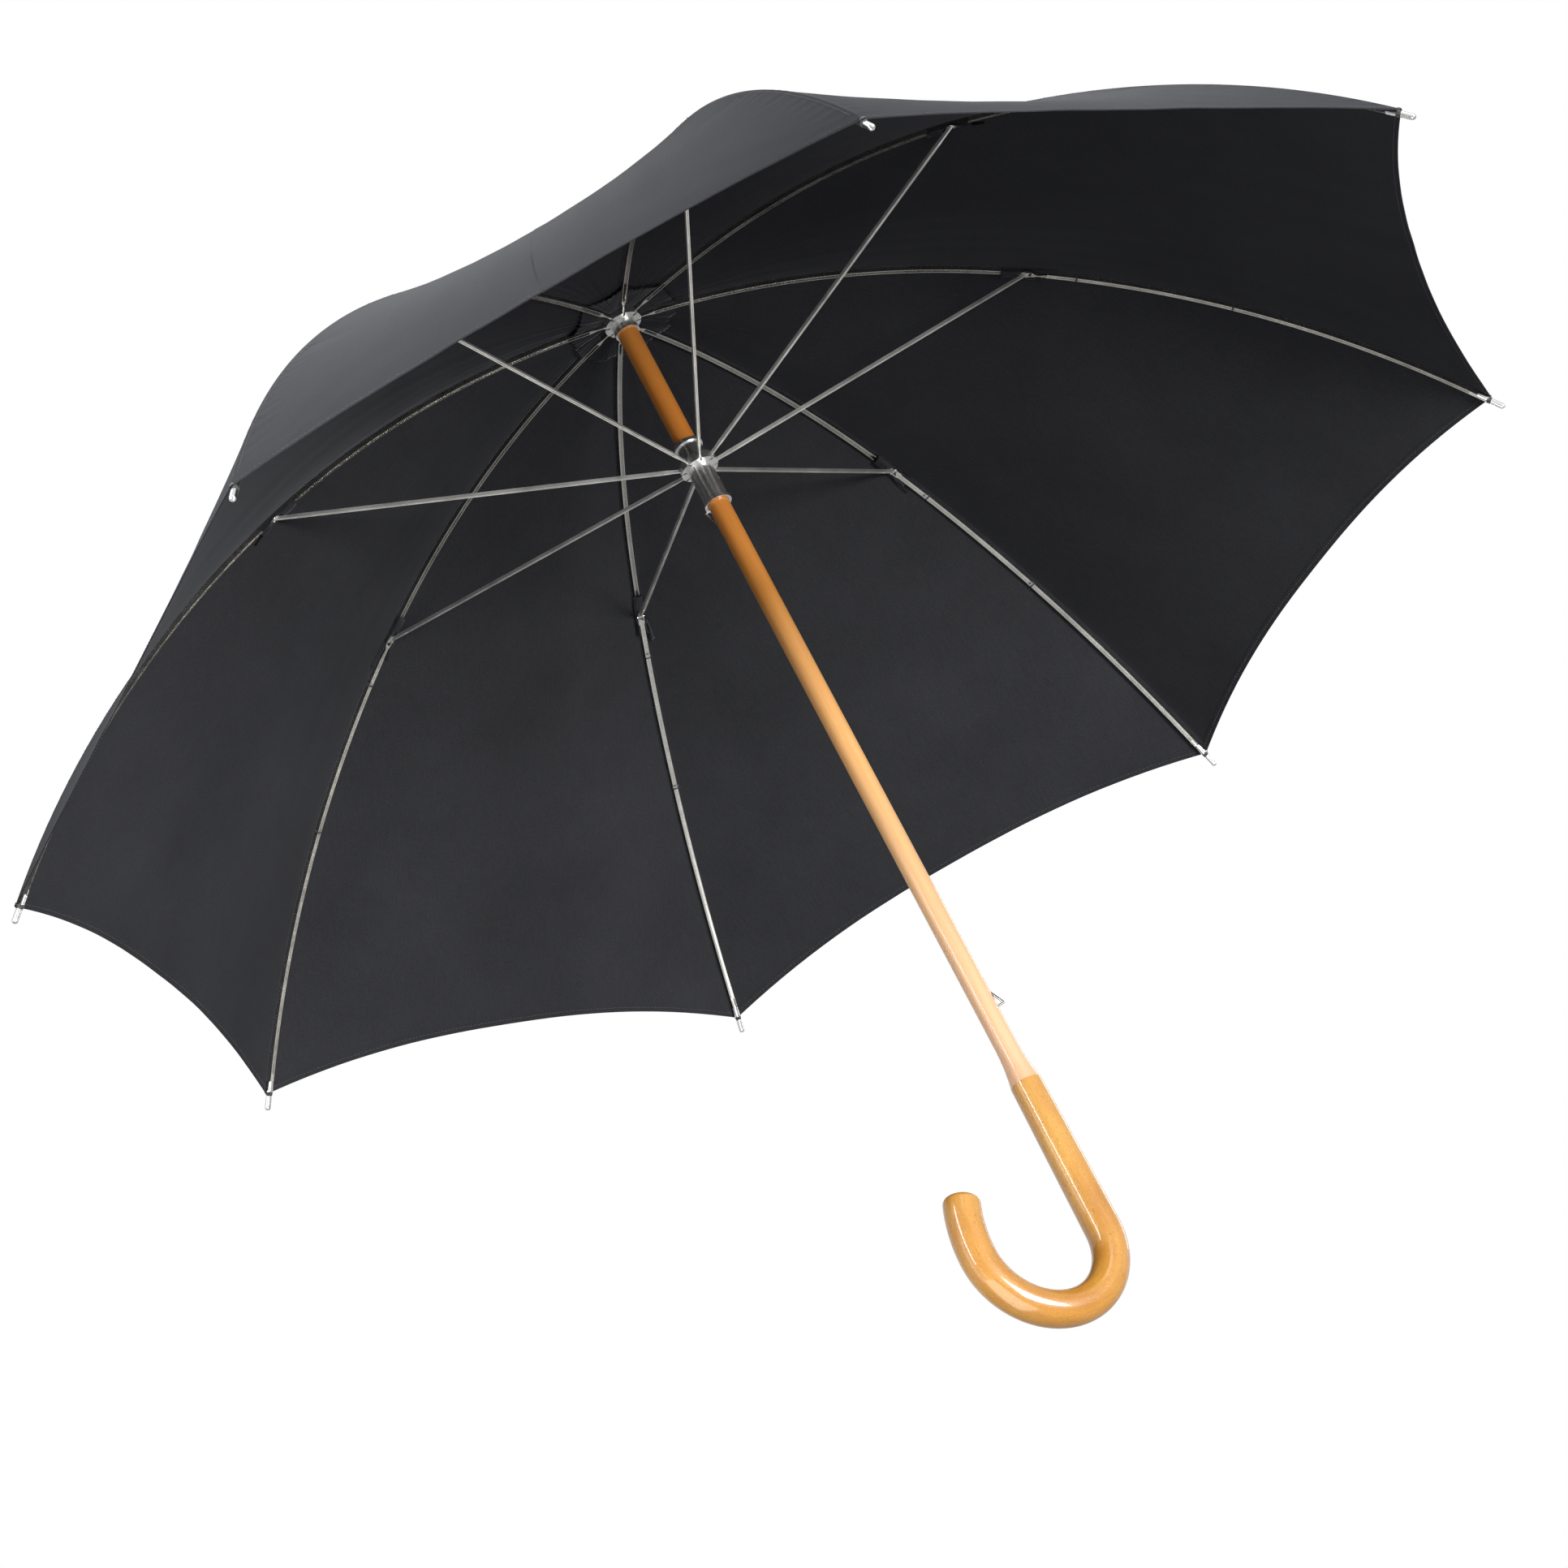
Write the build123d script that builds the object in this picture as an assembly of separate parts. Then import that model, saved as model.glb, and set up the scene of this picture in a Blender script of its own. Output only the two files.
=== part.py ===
from build123d import *
import os
from math import acos, atan2, cos, degrees, hypot, radians, sin

# Stick umbrella, standing open. Millimetres, with +Z up the shaft towards the ferrule.
# The origin is on the shaft's axis, where a hand holds the straight part of the handle,
# and the crook bends towards +X. A rib is drawn in the XZ plane, at azimuth 0, and then
# turned to its place.

# ---- driving dimensions -------------------------------------------------------------
RIBS = 8
FIRST_RIB_DEG = 71.7         # azimuth of rib 1; the others follow evenly
ARM = 281.0                  # notch pivot to stretcher joint, and that joint to runner pivot
PIVOT_R = 12.0               # radius of the wire rings that the ribs and stretchers turn on
NOTCH_Z = 700.0              # notch ring above the grip
RING_GAP = 132.0             # notch ring to runner ring, open
TIP_R, TIP_DROP = 550.0, 295.0             # tip ends: radius, and depth below the notch ring
CLOSED_DEG = 5.0             # a closed rib's inner chord leans this far from the shaft

SHAFT_R = 7.6
SHAFT_END = 8.6              # shoulder of the shaft above the notch ring
SPIGOT_R, SPIGOT_LEN = 5.2, 30.0           # thin end of the shaft, inside the ferrule
HANDLE_DROP = 645.0          # notch ring down to the joint of shaft and handle
FLARE_LEN = 30.0             # the shaft swells over this length to meet the handle
TENON_R, TENON_LEN = 4.5, 28.0
HANDLE_TOP_R, CROOK_R = 10.5, 12.0         # radius of the handle's rod at its top and round the bend
BEND_DROP = 753.0            # notch ring down to where the crook starts to bend
BEND_R = 47.5                # centreline of the crook's half turn
TAIL_R, TAIL_DEG = 98.0, 24.0              # the crook opens out past its half turn
END_ROUND = 3.5

RIB_W, RIB_T = 3.4, 0.45     # fluted rib: a channel open downwards, its width and wall
RIB_BACK, RIB_LIP = 2.2, 1.2               # its back above, and its lips below, the pivot line
INNER_TURN = 27.5            # how far a rib bends between the notch and the joint, in degrees
END_SLOPE = 52.0             # slope of its tip, in degrees
NECK_LEN, NECK_TAPER = 12.0, 5.0           # flattened neck between an eye and its channel
EYE_R, EYE_HOLE_R, EYE_T = 1.6, 0.72, 1.1
WIRE_R = 0.65
INNER_END = 1.8              # inner rib past the rivet
OUTER_START = 3.6            # outer rib's channel starts this far from the rivet
EAR_R, EAR_IN, EAR_OUT, EAR_LEN = 1.7, 1.9, 2.35, 6.2
RIVET_R, RIVET_LEN, RIVET_HEAD_R, RIVET_HEAD = 0.8, 5.0, 1.35, 0.5
PIVOT_FIT = 0.06             # radial clearance of a rivet in its holes
CUT = 1.0                    # a cutter passes this far beyond what it cuts

ARM_W, ARM_H = 2.0, 2.4      # stretcher channel
ARM_EYE_R, ARM_EYE_T, ARM_EYE_LEN = 1.3, 1.5, 10.0      # its flattened end inside the rib

TIP_LEN = 21.0
TIP_SLEEVE_R, TIP_SLEEVE = 2.4, 8.0
TIP_WAIST_R, TIP_WAIST = 1.5, 3.0
TIP_BODY_R, TIP_ROUND, TIP_GAP = 2.15, 1.6, 0.2         # the gap is between channel and sleeve
SPIGOT_TIP_R = 1.3           # round end of the rib inside its tip

SLOT_W, SLOT_FLOOR_R = 1.6, 9.9            # slots for the eyes in the notch and runner
FLANGE_R, FLANGE_DOWN, NOTCH_TOP, FLANGE_UP = 13.6, 3.0, 2.0, 3.0
NOTCH_TUBE_R, NOTCH_TUBE_LEN, NOTCH_FIT = 9.0, 11.0, 0.05
WIRE_FIT = 0.02              # around a wire ring in its groove
NOTCH_PIN_R, NOTCH_PIN_DROP = 0.7, 7.5
RUNNER_BORE_R, RUNNER_TUBE_R = 8.0, 8.9
RUNNER_UP, RUNNER_DOWN = 18.5, 34.0        # tube above and below its pivot ring
COLLAR_R, COLLAR_H, RIM_R, RIM_H = 10.4, 2.6, 9.9, 2.4
WINDOW_W, WINDOW_H, WINDOW_UP = 3.4, 15.0, 3.2  # opening that the hand spring snaps into

SPRING_R = 0.75              # spring wire
SPRING_SLOT_W, SPRING_SLOT_FLOOR = 2.2, -2.5            # the slot's width, and its floor past the axis
SLOT_PAST_CATCH, SLOT_PAST_PIN = 2.0, 3.0
SPRING_PIN_R, SPRING_PIN_X, SPRING_PIN_LEN, SPRING_EYE_R = 0.6, 3.2, 11.4, 1.4
LEG_START, CATCH_END = 0.9, 1.2            # both wire ends, out from the pin
CATCH_SLOPE = 0.8            # the catch falls away this much towards its corner
CATCH_GAP = 0.35             # between the top spring's catch and the open runner
TOP_SPRING_LEN, TOP_SPRING_OUT = 25.0, 11.8
HAND_SPRING_LEN, HAND_SPRING_OUT = 20.0, 12.6

CANOPY_T = 0.8
PROFILE_STEPS = 12
CANOPY_GAP = 1.0             # canopy above a rib's back
CANOPY_START = -3.0          # its centre hole, along a rib from the notch pivot
CANOPY_END = 9.5             # its corner, past the end of a rib's channel
HEM_RISE = 24.0              # a hem's middle stands this far back from its corners
PANEL_DIP = 13.0             # a panel's middle hangs this far below its ribs
SEAM_GAP_DEG = 0.05          # between neighbouring sectors of the canopy

CAP_R, CAP_FLOOR, CAP_EDGE, CAP_FIT = 15.0, 4.7, 1.0, 0.1
FERRULE_BASE_R, FERRULE_TIP_R = 8.4, 5.0
FERRULE_CONE, FERRULE_TIP_LEN, FERRULE_ROUND = 44.0, 18.0, 1.5

# ---- derived places -----------------------------------------------------------------
OPEN_DEG = degrees(acos(RING_GAP / (2 * ARM)))        # a rib's inner chord from straight down
ARM_SLOPE = 90 - OPEN_DEG
NOTCH = (PIVOT_R, NOTCH_Z)
JOINT = (PIVOT_R + ARM * sin(radians(OPEN_DEG)), NOTCH_Z - RING_GAP / 2)
RUNNER_Z = NOTCH_Z - RING_GAP
HANDLE_Z = NOTCH_Z - HANDLE_DROP
BEND_Z = NOTCH_Z - BEND_DROP
PITCH = 360 / RIBS
HAND_SPRING_DEG = FIRST_RIB_DEG + 1.5 * PITCH         # both springs stand between two ribs
TOP_SPRING_DEG = HAND_SPRING_DEG + 180
CLOSED_RUNNER_Z = NOTCH_Z - 2 * ARM * cos(radians(CLOSED_DEG))
TOP_CATCH_Z = RUNNER_Z - RUNNER_DOWN - CATCH_GAP
HAND_CATCH_Z = CLOSED_RUNNER_Z - RUNNER_DOWN + WINDOW_UP + CATCH_GAP
SECTION_MIDDLE = (RIB_BACK - RIB_LIP) / 2


# ---- the line of a rib --------------------------------------------------------------
class RibArc:
    """An arc that bends downwards, from start to end, in the XZ plane. Slopes are in degrees."""

    def __init__(self, start, end, turn):
        run, fall = end[0] - start[0], start[1] - end[1]
        self.radius = hypot(run, fall) / 2 / sin(radians(turn / 2))
        chord_slope = degrees(atan2(fall, run))
        self.first, self.last = chord_slope - turn / 2, chord_slope + turn / 2
        self.centre = (
            start[0] - self.radius * sin(radians(self.first)),
            start[1] - self.radius * cos(radians(self.first)),
        )
        self.length = self.radius * radians(turn)

    def slope(self, along):
        return self.first + degrees(along / self.radius)

    def point(self, along, rise=0.0):
        angle = radians(self.slope(along))
        reach = self.radius + rise
        return (self.centre[0] + reach * sin(angle), self.centre[1] + reach * cos(angle))


def stepped(point, slope, forward, rise):
    """The point that lies forward down the slope, and rise above it."""
    a = radians(slope)
    return (
        point[0] + forward * cos(a) + rise * sin(a),
        point[1] - forward * sin(a) + rise * cos(a),
    )


INNER = RibArc(NOTCH, JOINT, INNER_TURN)
CHANNEL_END = stepped((TIP_R, NOTCH_Z - TIP_DROP), END_SLOPE, -TIP_LEN, -SECTION_MIDDLE)
OUTER_CHORD = degrees(atan2(JOINT[1] - CHANNEL_END[1], CHANNEL_END[0] - JOINT[0]))
OUTER = RibArc(JOINT, CHANNEL_END, 2 * (OUTER_CHORD - INNER.last))
CANOPY_LEN = INNER.length + OUTER.length + CANOPY_END


def rib_line(along, rise):
    """A point on the whole rib's line, and the slope there."""
    if along <= INNER.length:
        return INNER.point(along, rise), INNER.slope(along)
    along -= INNER.length
    if along <= OUTER.length:
        return OUTER.point(along, rise), OUTER.slope(along)
    return stepped(CHANNEL_END, OUTER.last, along - OUTER.length, rise), OUTER.last


# ---- shared shapes ------------------------------------------------------------------
def turned(*lines):
    """The solid that an outline, given as lines in the XZ plane, makes about the Z axis."""
    return revolve(Plane.XZ * make_face(Curve() + list(lines)), Axis.Z)


def turned_polygon(*points):
    return revolve(Plane.XZ * make_face(Polyline(*points, close=True)), Axis.Z)


def band(arc, start, end, low, high, half_width):
    """A curved bar along an arc, between two heights above its line."""
    middle = (start + end) / 2
    outline = Curve() + [
        ThreePointArc(arc.point(start, high), arc.point(middle, high), arc.point(end, high)),
        Line(arc.point(end, high), arc.point(end, low)),
        ThreePointArc(arc.point(end, low), arc.point(middle, low), arc.point(start, low)),
        Line(arc.point(start, low), arc.point(start, high)),
    ]
    return extrude(Plane.XZ * make_face(outline), half_width, both=True)


def plan(*widths):
    """A tall block whose plan is symmetrical, from pairs of X and half width."""
    outline = [(x, w) for x, w in widths] + [(x, -w) for x, w in reversed(widths)]
    return extrude(Plane.XY * make_face(Polyline(*outline, close=True)), 2 * TIP_R, both=True)


def cross_pin(place, radius, length):
    """A cylinder across the rib, centred on a place in the XZ plane."""
    return Pos(place[0], 0, place[1]) * Rot(90, 0, 0) * Cylinder(radius, length)


def down_slope(place, slope):
    """The frame with its origin at a place in the XZ plane and its X axis down the slope."""
    return Pos(place[0], 0, place[1]) * Rot(0, slope, 0)


def block(x, y, z):
    """A box between the pairs x, y and z."""
    size = [pair[1] - pair[0] for pair in (x, y, z)]
    return Pos(*[sum(pair) / 2 for pair in (x, y, z)]) * Box(*size)


def rod(points, radius):
    """Round wire along straight runs in the XZ plane, with ball corners and ends."""
    solid = Part()
    for a, b in zip(points, points[1:]):
        run = Vector(b[0] - a[0], 0, b[1] - a[1])
        solid += Solid.make_cylinder(radius, run.length, Plane((a[0], 0, a[1]), z_dir=run))
    for x, z in points:
        solid += Pos(x, 0, z) * Sphere(radius)
    return solid


def wire_ring(height, radius=WIRE_R):
    return Pos(0, 0, height) * Torus(PIVOT_R, radius)


def ring_slots(height):
    """The cuts that the eyes turn in, one for each rib."""
    slot = block((SLOT_FLOOR_R, 2 * PIVOT_R), (-SLOT_W / 2, SLOT_W / 2), (-PIVOT_R, PIVOT_R))
    return [Rot(0, 0, FIRST_RIB_DEG + k * PITCH) * Pos(0, 0, height) * slot for k in range(RIBS)]


# ---- the stick ----------------------------------------------------------------------
def spring_slot(catch_z, length, direction, azimuth):
    """The slot in the shaft that a spring is pressed into, from past its pin to past its catch."""
    past_pin = length + SLOT_PAST_PIN
    ends = sorted((catch_z + SLOT_PAST_CATCH * direction, catch_z - past_pin * direction))
    half = SPRING_SLOT_W / 2
    return Rot(0, 0, azimuth) * block((SPRING_SLOT_FLOOR, 2 * SHAFT_R), (-half, half), ends)


def spring_pin(catch_z, length, direction, azimuth):
    root = (SPRING_PIN_X, catch_z - length * direction)
    return Rot(0, 0, azimuth) * cross_pin(root, SPRING_PIN_R, SPRING_PIN_LEN)


TOP_SPRING = (TOP_CATCH_Z, TOP_SPRING_LEN, 1, TOP_SPRING_DEG)
HAND_SPRING = (HAND_CATCH_Z, HAND_SPRING_LEN, -1, HAND_SPRING_DEG)


def notch_pin():
    pin = Rot(90, 0, 0) * Cylinder(NOTCH_PIN_R, 2 * NOTCH_TUBE_R + CUT)
    return Rot(0, 0, HAND_SPRING_DEG) * Pos(0, 0, NOTCH_Z - NOTCH_PIN_DROP) * pin


def shaft():
    top = NOTCH_Z + SHAFT_END
    flare_top = HANDLE_Z + FLARE_LEN
    swell = HANDLE_TOP_R - SHAFT_R
    bow = (FLARE_LEN**2 + swell**2) / 2 / swell
    half_swell = bow - (bow**2 - (FLARE_LEN / 2) ** 2) ** 0.5
    stick = turned(
        Polyline(
            (0, HANDLE_Z - TENON_LEN), (TENON_R, HANDLE_Z - TENON_LEN), (TENON_R, HANDLE_Z),
            (HANDLE_TOP_R, HANDLE_Z),
        ),
        ThreePointArc(
            (HANDLE_TOP_R, HANDLE_Z), (SHAFT_R + half_swell, HANDLE_Z + FLARE_LEN / 2),
            (SHAFT_R, flare_top),
        ),
        Polyline(
            (SHAFT_R, flare_top), (SHAFT_R, top), (SPIGOT_R, top), (SPIGOT_R, top + SPIGOT_LEN),
            (0, top + SPIGOT_LEN), (0, HANDLE_Z - TENON_LEN),
        ),
    )
    for spring in (TOP_SPRING, HAND_SPRING):
        stick -= spring_slot(*spring)
        stick -= spring_pin(*spring)
    return stick - notch_pin()


def handle():
    straight = loft([
        Pos(0, 0, HANDLE_Z) * Circle(HANDLE_TOP_R),
        Pos(0, 0, BEND_Z) * Circle(CROOK_R),
    ])
    bend_axis = Axis((BEND_R, 0, BEND_Z), (0, -1, 0))
    bend = revolve(Pos(0, 0, BEND_Z) * Circle(CROOK_R), bend_axis, 180)
    tail_axis = Axis((2 * BEND_R - TAIL_R, 0, BEND_Z), (0, -1, 0))
    tail = revolve(Pos(2 * BEND_R, 0, BEND_Z) * Circle(CROOK_R), tail_axis, TAIL_DEG)
    end_circle = tail.edges().filter_by(lambda edge: edge.is_closed).sort_by(Axis.Z)[-1]
    crook = straight + bend + fillet(end_circle, END_ROUND)
    return crook - Pos(0, 0, HANDLE_Z - TENON_LEN / 2) * Cylinder(TENON_R, TENON_LEN)


def ferrule():
    base = NOTCH_Z + SHAFT_END
    shoulder, tip = base + FERRULE_CONE, base + FERRULE_CONE + FERRULE_TIP_LEN
    cup = turned_polygon(
        (0, base), (FERRULE_BASE_R, base), (FERRULE_TIP_R, shoulder), (FERRULE_TIP_R, tip), (0, tip)
    )
    cup = fillet(cup.edges().sort_by(Axis.Z)[-1], FERRULE_ROUND)
    return cup - Pos(0, 0, base + SPIGOT_LEN / 2) * Cylinder(SPIGOT_R, SPIGOT_LEN)


def top_cap():
    floor = NOTCH_Z + CAP_FLOOR
    hole = SHAFT_R + CAP_FIT
    return turned_polygon(
        (hole, floor), (CAP_R, floor), (CAP_R, floor + CAP_EDGE), (hole, NOTCH_Z + SHAFT_END)
    )


def top_notch():
    bore = SHAFT_R + NOTCH_FIT
    body = turned_polygon(
        (bore, NOTCH_Z - NOTCH_TUBE_LEN), (NOTCH_TUBE_R, NOTCH_Z - NOTCH_TUBE_LEN),
        (NOTCH_TUBE_R, NOTCH_Z - FLANGE_DOWN), (FLANGE_R, NOTCH_Z - FLANGE_DOWN),
        (FLANGE_R, NOTCH_Z + NOTCH_TOP), (bore, NOTCH_Z + NOTCH_TOP),
    )
    body -= ring_slots(NOTCH_Z)
    return body - wire_ring(NOTCH_Z, WIRE_R + WIRE_FIT) - notch_pin()


# ---- the runner and the springs -----------------------------------------------------
def runner_tube():
    low, high = RUNNER_Z - RUNNER_DOWN, RUNNER_Z + RUNNER_UP
    body = turned_polygon(
        (RUNNER_BORE_R, low), (RIM_R, low), (RIM_R, low + RIM_H), (RUNNER_TUBE_R, low + RIM_H),
        (RUNNER_TUBE_R, RUNNER_Z - FLANGE_DOWN), (FLANGE_R, RUNNER_Z - FLANGE_DOWN),
        (FLANGE_R, RUNNER_Z + FLANGE_UP), (RUNNER_TUBE_R, RUNNER_Z + FLANGE_UP),
        (RUNNER_TUBE_R, high - COLLAR_H), (COLLAR_R, high - COLLAR_H), (COLLAR_R, high),
        (RUNNER_BORE_R, high),
    )
    window = block(
        (0, 2 * RUNNER_TUBE_R), (-WINDOW_W / 2, WINDOW_W / 2),
        (low + WINDOW_UP, low + WINDOW_UP + WINDOW_H),
    )
    body -= ring_slots(RUNNER_Z)
    return body - wire_ring(RUNNER_Z, WIRE_R + WIRE_FIT) - Rot(0, 0, HAND_SPRING_DEG) * window


def spring(catch_z, length, direction, azimuth, out):
    """Bent wire: an eye on its pin, a long leg sloping out to the corner, and the catch."""
    root = (SPRING_PIN_X, catch_z - length * direction)
    back = catch_z - SPRING_R * direction
    corner = (out - SPRING_R, back - CATCH_SLOPE * direction)
    leg_start = (SPRING_PIN_X + LEG_START, root[1] + SPRING_EYE_R * direction)
    wire = rod([leg_start, corner, (SPRING_PIN_X + CATCH_END, back)], SPRING_R)
    wire += cross_pin(root, SPRING_EYE_R, 2 * SPRING_R)
    return Rot(0, 0, azimuth) * (wire - cross_pin(root, SPRING_PIN_R + PIVOT_FIT, SPRING_SLOT_W))


# ---- one rib, at azimuth 0 ----------------------------------------------------------
def inner_rib():
    half = RIB_W / 2
    end = INNER.length + INNER_END
    bar = band(INNER, -EYE_R, end, -RIB_LIP, RIB_BACK, half)
    neck_end = PIVOT_R + NECK_LEN
    bar &= plan(
        (PIVOT_R, EYE_T / 2), (neck_end - NECK_TAPER, EYE_T / 2), (neck_end, half), (TIP_R, half)
    )
    bar -= band(INNER, NECK_LEN + CUT, end + CUT, -2 * RIB_LIP, RIB_BACK - RIB_T, half - RIB_T)
    bar += cross_pin(NOTCH, EYE_R, EYE_T)
    return bar - cross_pin(NOTCH, EYE_HOLE_R, RIB_W) - cross_pin(JOINT, RIVET_R, 2 * RIB_W)


def joint_rivet():
    pin = cross_pin(JOINT, RIVET_R, RIVET_LEN)
    for side in (-1, 1):
        head = Pos(0, side * (RIVET_LEN + RIVET_HEAD) / 2, 0) * cross_pin(
            JOINT, RIVET_HEAD_R, RIVET_HEAD
        )
        pin += head
    return pin


def outer_rib():
    half = RIB_W / 2
    bar = band(OUTER, OUTER_START, OUTER.length, -RIB_LIP, RIB_BACK, half)
    bar -= band(
        OUTER, OUTER_START - CUT, OUTER.length + CUT, -2 * RIB_LIP, RIB_BACK - RIB_T, half - RIB_T
    )
    at_joint = down_slope(JOINT, OUTER.first)
    for inside, outside in ((EAR_IN, EAR_OUT), (-EAR_OUT, -EAR_IN)):
        bar += at_joint * block((0, EAR_LEN), (inside, outside), (-RIB_LIP, EAR_R))
        bar += at_joint * Pos(0, (inside + outside) / 2, 0) * Rot(90, 0, 0) * Cylinder(
            EAR_R, EAR_OUT - EAR_IN
        )
    for inside, outside in ((half - RIB_T, EAR_OUT), (-EAR_OUT, RIB_T - half)):
        bar += at_joint * block((OUTER_START, EAR_LEN), (inside, outside), (-RIB_LIP, EAR_R))
    at_end = down_slope(CHANNEL_END, OUTER.last)
    spigot = at_end * Pos(CUT, 0, SECTION_MIDDLE) * Rot(0, 90, 0) * Cylinder(
        SPIGOT_TIP_R, 2 * (TIP_SLEEVE - CUT)
    )
    return bar + spigot - cross_pin(JOINT, RIVET_R + PIVOT_FIT, 2 * RIB_W)


def rib_tip():
    waist_end = TIP_SLEEVE + TIP_WAIST
    body = turned_polygon(
        (0, TIP_GAP), (TIP_SLEEVE_R, TIP_GAP), (TIP_SLEEVE_R, TIP_SLEEVE), (TIP_WAIST_R, TIP_SLEEVE),
        (TIP_WAIST_R, waist_end), (TIP_BODY_R, waist_end), (TIP_BODY_R, TIP_LEN), (0, TIP_LEN),
    )
    body = fillet(body.edges().sort_by(Axis.Z)[-1], TIP_ROUND)
    body -= Pos(0, 0, TIP_SLEEVE / 2) * Cylinder(SPIGOT_TIP_R, TIP_SLEEVE)
    return down_slope(CHANNEL_END, OUTER.last) * Pos(0, 0, SECTION_MIDDLE) * Rot(0, 90, 0) * body


def stretcher():
    half, fork = ARM_W / 2, ARM - ARM_EYE_LEN
    bar = block((-EYE_R, ARM + EYE_R), (-half, half), (-ARM_H / 2, ARM_H / 2))
    bar &= plan(
        (0, EYE_T / 2), (NECK_LEN - NECK_TAPER, EYE_T / 2), (NECK_LEN, half),
        (fork - NECK_TAPER, half), (fork, ARM_EYE_T / 2), (ARM, ARM_EYE_T / 2),
    )
    bar -= block(
        (NECK_LEN + CUT, fork - NECK_TAPER - CUT), (RIB_T - half, half - RIB_T),
        (-ARM_H, ARM_H / 2 - RIB_T),
    )
    bar += cross_pin((0, 0), EYE_R, EYE_T)
    bar += cross_pin((ARM, 0), ARM_EYE_R, ARM_EYE_T)
    bar -= cross_pin((0, 0), EYE_HOLE_R, ARM_W)
    bar -= cross_pin((ARM, 0), RIVET_R + PIVOT_FIT, ARM_W)
    return down_slope((PIVOT_R, RUNNER_Z), -ARM_SLOPE) * bar


def canopy_profile(middle):
    """The canopy's section over a rib, or where middle is true along the middle of a panel."""
    end = CANOPY_LEN - (HEM_RISE if middle else 0)

    def place(step, rise):
        along = CANOPY_START + (end - CANOPY_START) * step / PROFILE_STEPS
        (x, z), slope = rib_line(along, RIB_BACK + CANOPY_GAP + rise)
        if middle:
            dip = PANEL_DIP * sin(radians(180 * max(along, 0) / CANOPY_LEN))
            x = x * cos(radians(PITCH / 2)) - dip * sin(radians(slope))
            z -= dip * cos(radians(slope))
        return (x, z)

    under = [place(n, 0) for n in range(PROFILE_STEPS + 1)]
    over = [place(n, CANOPY_T) for n in reversed(range(PROFILE_STEPS + 1))]
    outline = Curve() + [
        Spline(*under), Line(under[-1], over[0]), Spline(*over), Line(over[-1], under[0])
    ]
    return Plane.XZ * make_face(outline)


def canopy_sector():
    """The cover over one rib, out to the middle of the panel on each side."""
    side = PITCH / 2 - SEAM_GAP_DEG
    edge, ridge = canopy_profile(middle=True), canopy_profile(middle=False)
    return loft([Rot(0, 0, -side) * edge, ridge, Rot(0, 0, side) * edge], ruled=True)


# ---- the whole umbrella -------------------------------------------------------------
def build():
    nodes = {
        "shaft": shaft(),
        "crook_handle": handle(),
        "ferrule": ferrule(),
        "top_cap": top_cap(),
        "top_notch": top_notch(),
        "notch_wire": wire_ring(NOTCH_Z),
        "notch_pin": notch_pin(),
        "spring_pins": Compound([spring_pin(*s).solid() for s in (TOP_SPRING, HAND_SPRING)]),
        "runner_tube": runner_tube(),
        "runner_wire": wire_ring(RUNNER_Z),
        "top_spring": spring(*TOP_SPRING, TOP_SPRING_OUT),
        "hand_spring": spring(*HAND_SPRING, HAND_SPRING_OUT),
    }
    one_rib = {
        "inner_rib": inner_rib(),
        "joint_rivet": joint_rivet(),
        "outer_rib": outer_rib(),
        "rib_tip": rib_tip(),
        "stretcher": stretcher(),
        "canopy_sector": canopy_sector(),
    }
    for k in range(RIBS):
        place = Rot(0, 0, FIRST_RIB_DEG + k * PITCH)
        for name, solid in one_rib.items():
            nodes[f"{name}_{k + 1}"] = place * solid
    return nodes


os.makedirs("parts", exist_ok=True)
for node, solid in build().items():
    export_step(solid, f"parts/{node}.step")
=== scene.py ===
import math

import bmesh
import bpy
import numpy as np
from mathutils import Matrix


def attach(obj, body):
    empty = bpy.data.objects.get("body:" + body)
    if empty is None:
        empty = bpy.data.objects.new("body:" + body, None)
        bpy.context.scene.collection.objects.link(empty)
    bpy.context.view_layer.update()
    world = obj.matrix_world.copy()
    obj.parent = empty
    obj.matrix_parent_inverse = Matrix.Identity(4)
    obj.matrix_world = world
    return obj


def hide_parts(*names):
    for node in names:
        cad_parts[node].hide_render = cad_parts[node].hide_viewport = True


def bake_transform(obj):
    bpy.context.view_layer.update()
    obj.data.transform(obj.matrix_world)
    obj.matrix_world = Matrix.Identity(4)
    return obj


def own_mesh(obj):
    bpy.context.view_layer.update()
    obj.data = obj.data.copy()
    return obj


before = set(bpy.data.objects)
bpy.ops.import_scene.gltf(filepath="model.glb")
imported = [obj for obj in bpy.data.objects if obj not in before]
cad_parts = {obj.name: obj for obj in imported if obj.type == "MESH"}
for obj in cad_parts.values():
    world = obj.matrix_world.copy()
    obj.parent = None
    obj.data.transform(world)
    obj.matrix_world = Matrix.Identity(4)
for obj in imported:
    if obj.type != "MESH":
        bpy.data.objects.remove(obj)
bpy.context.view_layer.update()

# Metres, in the part's own frame: +Z up the shaft, the crook bending towards +X.
MM = 0.001

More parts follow.
